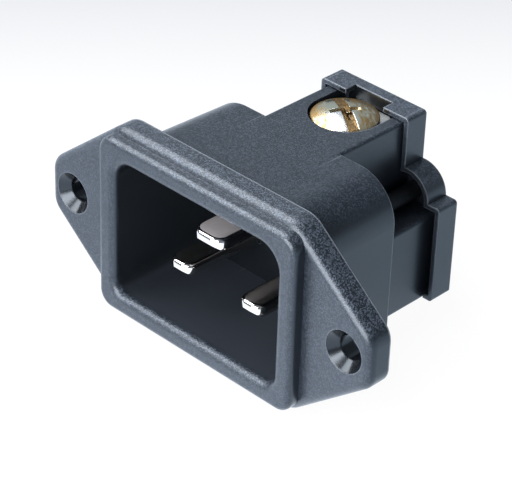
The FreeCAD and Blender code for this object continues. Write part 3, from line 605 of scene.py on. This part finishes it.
# Terminal screws: domed head with a slot and a cross, threaded below the clamp plate
HEAD_RADIUS = 4.7 * MM
HEAD_SIDE = 1.0 * MM
HEAD_HEIGHT = 2.0 * MM
HEAD_FACETS = 96
DOME_RISE = HEAD_HEIGHT - HEAD_SIDE
DOME_RADIUS = (HEAD_RADIUS ** 2 + DOME_RISE ** 2) / (2 * DOME_RISE)
DOME_STEPS = 9
RIM_SOFT = 0.12 * MM
RIM_STEPS = 3
SLOT_LENGTH = 3 * HEAD_RADIUS
SLOT_WIDTH = 1.5 * MM
SLOT_DEPTH = 0.85 * MM
SLOT_TURN = math.radians(-32)
CROSS_SPAN = 4.8 * MM
CROSS_WIDTH = 0.95 * MM
CROSS_DEPTH = 1.5 * MM
CROSS_CLEAR = 0.1 * MM
CROSS_TAPER = (0.5, 0.65, 1.0)
THREAD_RADIUS = 1.95 * MM
THREAD_RIDGE = 0.38 * MM
THREAD_CORE = THREAD_RADIUS - THREAD_RIDGE
THREAD_PITCH = 0.7 * MM
THREAD_START = 1.9 * MM
THREAD_END = 0.45 * MM
THREAD_FACETS = 32
TIP_SOFT = 0.3 * MM
SCREW_Y = 22.75 * MM
POLE_X = 6.5 * MM
EARTH_SEAT = 11.6 * MM
POLE_SEAT = -10.2 * MM
EARTH_SHANK = 8.3 * MM
POLE_SHANK = 6.9 * MM


def screw_blank(length):
    """Domed head, pulled up ring by ring, and a plain core below it."""
    bpy.ops.mesh.primitive_cylinder_add(
        vertices=HEAD_FACETS, radius=HEAD_RADIUS, depth=HEAD_SIDE, location=(0, 0, HEAD_SIDE / 2))
    screw = bpy.context.object
    settle(screw)
    pick(screw, "FACE", lambda corners, normal: normal.z > FACING)
    radius, rise = HEAD_RADIUS, HEAD_SIDE
    for k in range(1, DOME_STEPS + 1):
        inner = HEAD_RADIUS * (1 - k / (DOME_STEPS + 1))
        top = HEAD_HEIGHT - DOME_RADIUS + math.sqrt(DOME_RADIUS ** 2 - inner ** 2)
        bpy.ops.mesh.inset(thickness=radius - inner)
        bpy.ops.transform.translate(value=(0, 0, top - rise))
        radius, rise = inner, top
    leave_edit()
    pick(screw, "FACE", lambda corners, normal: normal.z < -FACING)
    bpy.ops.mesh.inset(thickness=HEAD_RADIUS - THREAD_CORE)
    bpy.ops.mesh.extrude_region_move(TRANSFORM_OT_translate={"value": (0, 0, -length)})
    leave_edit()
    pick(screw, "EDGE", lambda corners, normal: is_at(corners, 2, -length))
    bpy.ops.mesh.bevel(offset=TIP_SOFT, segments=1)
    leave_edit()

    def is_rim(corners, normal):
        outer = all(corner.xy.length > HEAD_RADIUS - TOUCH for corner in corners)
        return outer and (is_at(corners, 2, 0.0) or is_at(corners, 2, HEAD_SIDE))

    pick(screw, "EDGE", is_rim)
    bpy.ops.mesh.bevel(offset=RIM_SOFT, segments=RIM_STEPS)
    leave_edit()
    return screw


def thread_ridge(length):
    """One ridge wound round the core, closed at both ends."""
    bpy.ops.mesh.primitive_circle_add(vertices=3, radius=THREAD_RIDGE, rotation=(0, 0, -math.pi / 2))
    ridge = bpy.context.object
    settle(ridge)
    ridge.rotation_euler = (math.pi / 2, 0, 0)
    ridge.location = (THREAD_CORE, 0, THREAD_END - length)
    settle(ridge)
    winding = ridge.modifiers.new("winding", "SCREW")
    winding.axis = "Z"
    winding.screw_offset = THREAD_PITCH
    winding.iterations = int((length - THREAD_START - THREAD_END) / THREAD_PITCH)
    winding.steps = winding.render_steps = THREAD_FACETS
    bpy.ops.object.modifier_apply(modifier=winding.name)
    edit_all(ridge)
    bpy.ops.mesh.fill_holes(sides=3)
    bpy.ops.mesh.normals_make_consistent(inside=False)
    leave_edit()
    return ridge


def driver_slot():
    """Straight slot right across the dome."""
    bpy.ops.mesh.primitive_cube_add(
        size=1, location=(0, 0, HEAD_HEIGHT), scale=(SLOT_LENGTH, SLOT_WIDTH, 2 * SLOT_DEPTH))
    settle(bpy.context.object)
    return bpy.context.object


def cross_arm(turn):
    """One arm of the cross recess, narrower and shorter at its foot."""
    top = HEAD_HEIGHT + CROSS_CLEAR
    foot = HEAD_HEIGHT - CROSS_DEPTH
    bpy.ops.mesh.primitive_cube_add(
        size=1, location=(0, 0, (top + foot) / 2), scale=(CROSS_SPAN, CROSS_WIDTH, top - foot))
    arm = bpy.context.object
    settle(arm)
    pick(arm, "FACE", lambda corners, normal: normal.z < -FACING)
    bpy.ops.transform.resize(value=CROSS_TAPER, center_override=(0, 0, foot))
    leave_edit()
    arm.rotation_euler = (0, 0, turn)
    settle(arm)
    return arm


def remember_plan(screw):
    """Keep each point's plan as a UV map and its height as an attribute, for the tarnish."""
    mesh = screw.data
    plan = mesh.uv_layers.active or mesh.uv_layers.new(name="plan")
    for loop in mesh.loops:
        plan.data[loop.index].uv = mesh.vertices[loop.vertex_index].co.xy
    height = mesh.attributes.new("height", "FLOAT", "POINT")
    for vertex in mesh.vertices:
        height.data[vertex.index].value = vertex.co.z


def model_screw(length):
    """A whole terminal screw at the origin, its seat at height 0 and its slot along X."""
    screw = screw_blank(length)
    apply_boolean(screw, thread_ridge(length), "UNION")
    apply_boolean(screw, driver_slot(), "DIFFERENCE")
    for turn in (0, math.pi / 2):
        apply_boolean(screw, cross_arm(turn), "DIFFERENCE")
    clean(screw)
    remember_plan(screw)
    return screw


def place_screw(screw, name, x, seat, upside_down=False):
    """Turn a screw to its slot's direction and set it on its clamp plate."""
    screw.name = screw.data.name = f"{name}_binding_screw"
    turn = Matrix.Rotation(SLOT_TURN, 4, "Z")
    if upside_down:
        turn = turn @ Matrix.Rotation(math.pi, 4, "X")
    screw.matrix_world = Matrix.Translation((x, SCREW_Y, seat)) @ turn
    settle(screw)
    dress(screw, FINISH_OF["terminal_screws"])
    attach(screw, f"{name}_screw")
    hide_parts(f"{name}_terminal_screw")


line_screw = model_screw(POLE_SHANK)
neutral_screw = twin(line_screw)
place_screw(model_screw(EARTH_SHANK), "earth", 0.0, EARTH_SEAT)
place_screw(line_screw, "line", POLE_X, POLE_SEAT, upside_down=True)
place_screw(neutral_screw, "neutral", -POLE_X, POLE_SEAT, upside_down=True)

# Pins: blade with a rounded nose, wider tapped tang behind the shoulder
PIN_THICK = 2.0 * MM
PIN_HEIGHT = 4.0 * MM
TANG_FRONT = 15.5 * MM
TANG_END = 28.25 * MM
TANG_WIDTH = 8.4 * MM
TAPPED_RADIUS = 2.0 * MM
TAPPED_FACETS = 64
NOSE_STEPS = 10
BLADE_ROUND = 0.65 * MM
BLADE_STEPS = 4
LEAD_HEIGHT = 0.15 * MM
LEAD_SLOPE = Vector((0, -0.55, -0.835))
SHARP_EDGE = math.radians(25)
FLAT_ANGLE = math.radians(1)


def widen_tang(pin, width):
    """Pull the bar's sides out behind the shoulder."""
    for side in (-1, 1):
        pick(pin, "FACE", lambda corners, normal: (
            side * normal.x > FACING and all(corner.y > TANG_FRONT - TOUCH for corner in corners)))
        bpy.ops.mesh.extrude_region_move(
            TRANSFORM_OT_translate={"value": (side * (TANG_WIDTH - width) / 2, 0, 0)})
        leave_edit()
    edit_all(pin)
    bpy.ops.mesh.dissolve_limited(angle_limit=FLAT_ANGLE)
    leave_edit()


def round_edges(pin):
    """Round all sharp edges."""
    only(pin)
    softening = pin.modifiers.new("edges", "BEVEL")
    softening.limit_method = "ANGLE"
    softening.angle_limit = SHARP_EDGE
    softening.width = BLADE_ROUND
    softening.segments = BLADE_STEPS
    bpy.ops.object.modifier_apply(modifier=softening.name)


def model_pin(width, tip, corner):
    """A pin on the middle plane: bar with wider tang, rounded nose, coined lead-in and tapped hole."""
    bpy.ops.mesh.primitive_cube_add(
        size=1, location=(0, (tip + TANG_END) / 2, 0), scale=(width, TANG_END - tip, PIN_THICK))
    pin = bpy.context.object
    settle(pin)
    edit_all(pin)
    bpy.ops.mesh.bisect(plane_co=(0, TANG_FRONT, 0), plane_no=(0, 1, 0))
    leave_edit()
    widen_tang(pin, width)
    pick(pin, "EDGE", lambda corners, normal: is_at(corners, 1, tip) and corners[0].x == corners[1].x)
    bpy.ops.mesh.bevel(offset=corner, segments=NOSE_STEPS)
    leave_edit()
    round_edges(pin)
    edit_all(pin)
    bpy.ops.mesh.bisect(
        plane_co=(0, tip, -LEAD_HEIGHT), plane_no=LEAD_SLOPE,
        use_fill=True, clear_outer=True, threshold=WELD)
    leave_edit()
    bpy.ops.mesh.primitive_cylinder_add(
        vertices=TAPPED_FACETS, radius=TAPPED_RADIUS, depth=2 * PIN_THICK, location=(0, SCREW_Y, 0))
    settle(bpy.context.object)
    apply_boolean(pin, bpy.context.object, "DIFFERENCE")
    clean(pin)
    return pin


def place_pin(pin, name, x, z, finish):
    """Set a pin in the housing."""
    pin.name = pin.data.name = f"{name}_contact"
    pin.location = (x, 0, z)
    settle(pin)
    dress(pin, finish)
    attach(pin, "housing")
    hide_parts(f"{name}_pin")


line_pin = model_pin(width=4.2 * MM, tip=-1.55 * MM, corner=1.6 * MM)
neutral_pin = twin(line_pin)
earth_pin = model_pin(width=5.5 * MM, tip=-3.1 * MM, corner=1.9 * MM)
place_pin(earth_pin, "earth", 0.0, PIN_HEIGHT, EARTH_FINISH)
place_pin(line_pin, "line", POLE_X, -PIN_HEIGHT, FINISH_OF["plated_pins"])
place_pin(neutral_pin, "neutral", -POLE_X, -PIN_HEIGHT, FINISH_OF["plated_pins"])

# Floor: white near the part and greyer far behind it; in reflections it glows with painted light,
# mostly above white, brighter on the right than the left and dimmer towards the back right
FLOOR_SIZE = 3.0
FLOOR_GAP = 0.05 * MM
FLOOR_TONE = (0.86, 0.87, 0.885, 1)
FLOOR_ROUGH = 0.9
FLOOR_GLOW = 0.95
FOOT_CLEAR = 5.0 * MM
BACKGROUND_WAY = Vector((-0.69, 0.724, 0.0))
NEAR_TO_FAR = (0.04, 0.13)
NEAR_TONE = (1.0, 1.0, 1.0, 1)
FAR_TONE = (0.645, 0.665, 0.71, 1)
LEFT_TO_RIGHT = (-0.06, 0.02)
LEFT_SHEEN = (1.3, 1.46, 1.66, 1)
RIGHT_SHEEN = (1.95, 2.15, 2.42, 1)
DIAGONAL = 0.707
FRONT_TO_SIDE = (0.004, 0.04)
SIDE_SHEEN = (0.85, 1.06, 1.24, 1)


def resting_rise(foot):
    """Slope of a floor that holds the part up at its foot and at the first point behind it."""
    rises = []
    for subpart in frame["record"]["subparts"]:
        node = bpy.data.objects[subpart["node"]]
        reach = [node.matrix_world @ vertex.co - foot for vertex in node.data.vertices]
        rises += [math.atan2(corner.z, corner.y) for corner in reach if corner.y > FOOT_CLEAR]
    return min(rises)


def floor_finish():
    """White floor that takes shadows, and glows for the camera and in reflections."""
    finish = Finish("white floor", Roughness=FLOOR_ROUGH, Base_Color=FLOOR_TONE)
    x, y = finish.axes(finish.place())[:2]
    far = finish.step(x * BACKGROUND_WAY.x + y * BACKGROUND_WAY.y, *NEAR_TO_FAR)
    sheen = finish.mix(finish.step(x, *LEFT_TO_RIGHT), LEFT_SHEEN, RIGHT_SHEEN)
    sheen = finish.mix(finish.step((x + y) * DIAGONAL, *FRONT_TO_SIDE), sheen, SIDE_SHEEN)
    seen = finish.node("ShaderNodeLightPath", output="Is Camera Ray")
    mirrored = finish.node("ShaderNodeLightPath", output="Is Glossy Ray")
    tone = finish.mix(mirrored, finish.mix(far, NEAR_TONE, FAR_TONE), sheen)
    glow = finish.node("ShaderNodeEmission", inputs={"Color": tone})
    finish.blend_into(finish.larger(seen, mirrored) * FLOOR_GLOW, glow)
    return finish.material


def pale_floor():
    """A white floor under the flange's rear edge and the lowest point behind it."""
    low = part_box("inlet_housing")[0]
    foot = Vector((0.0, 0.0, low[2] - FLOOR_GAP))
    slope = (resting_rise(foot), 0, 0)
    bpy.ops.mesh.primitive_plane_add(size=FLOOR_SIZE, location=foot, rotation=slope)
    floor = bpy.context.object
    floor.name = "floor"
    settle(floor)
    dress(floor, floor_finish())


# Light, in metres and watts
SURROUND_TONE = (0.78, 0.9, 1.0, 1)
SURROUND_STRENGTH = 0.3
WHITE_LIGHT = (1.0, 1.0, 1.0)
COOL_LIGHT = (0.72, 0.88, 1.08)


def softbox(name, direction, along, distance, length, width, power, tint=WHITE_LIGHT):
    """A flat lamp that faces the object from a direction, with its length along another."""
    lamp = bpy.data.lights.new(name, "AREA")
    lamp.color = tint
    lamp.shape = "RECTANGLE"
    lamp.size = width
    lamp.size_y = length
    lamp.energy = power
    holder = bpy.data.objects.new(name, lamp)
    bpy.context.collection.objects.link(holder)
    back = Vector(direction).normalized()
    across = Vector(along).cross(back).normalized()
    turn = Matrix((across, back.cross(across), back)).transposed().to_4x4()
    holder.matrix_world = Matrix.Translation(back * distance) @ turn


def studio():
    """A soft light high on the left, one in front, a dim one behind on the left and a pale surround."""
    softbox("left", direction=(-0.587, -0.177, 0.790), along=(0.0, 0.8, 0.6),
            distance=0.635, length=0.78, width=0.42, power=10.0)
    softbox("front", direction=(0.05, -0.94, 0.33), along=(1.0, 0.0, 0.0),
            distance=0.65, length=0.70, width=0.46, power=13.0)
    softbox("wall", direction=(-0.58, 0.61, 0.54), along=(0.7, 0.7, 0.0),
            distance=0.9, length=1.0, width=0.9, power=0.75, tint=COOL_LIGHT)
    world = bpy.data.worlds.new("surround")
    bpy.context.scene.world = world
    world.use_nodes = True
    background = world.node_tree.nodes["Background"]
    background.inputs["Color"].default_value = SURROUND_TONE
    background.inputs["Strength"].default_value = SURROUND_STRENGTH


# The camera stands to the right of the front and looks down at the part
CAMERA_PLACE = Vector((0.16978, -0.17169, 0.15972))
CAMERA_AZIMUTH = math.radians(43.626)
CAMERA_ELEVATION = math.radians(33.005)
CAMERA_ROLL = math.radians(1.995)
SENSOR_WIDTH = 36.0
LENS = 156.63


def photograph():
    """The camera of the photograph."""
    camera = bpy.data.cameras.new("camera")
    camera.sensor_width = SENSOR_WIDTH
    camera.lens = LENS
    holder = bpy.data.objects.new("camera", camera)
    bpy.context.collection.objects.link(holder)
    pan = Matrix.Rotation(CAMERA_AZIMUTH, 4, "Z")
    tilt = Matrix.Rotation(math.pi / 2 - CAMERA_ELEVATION, 4, "X")
    roll = Matrix.Rotation(CAMERA_ROLL, 4, "Z")
    holder.matrix_world = Matrix.Translation(CAMERA_PLACE) @ pan @ tilt @ roll
    bpy.context.scene.camera = holder


pale_floor()
studio()
photograph()
bpy.context.scene.view_settings.view_transform = "Standard"
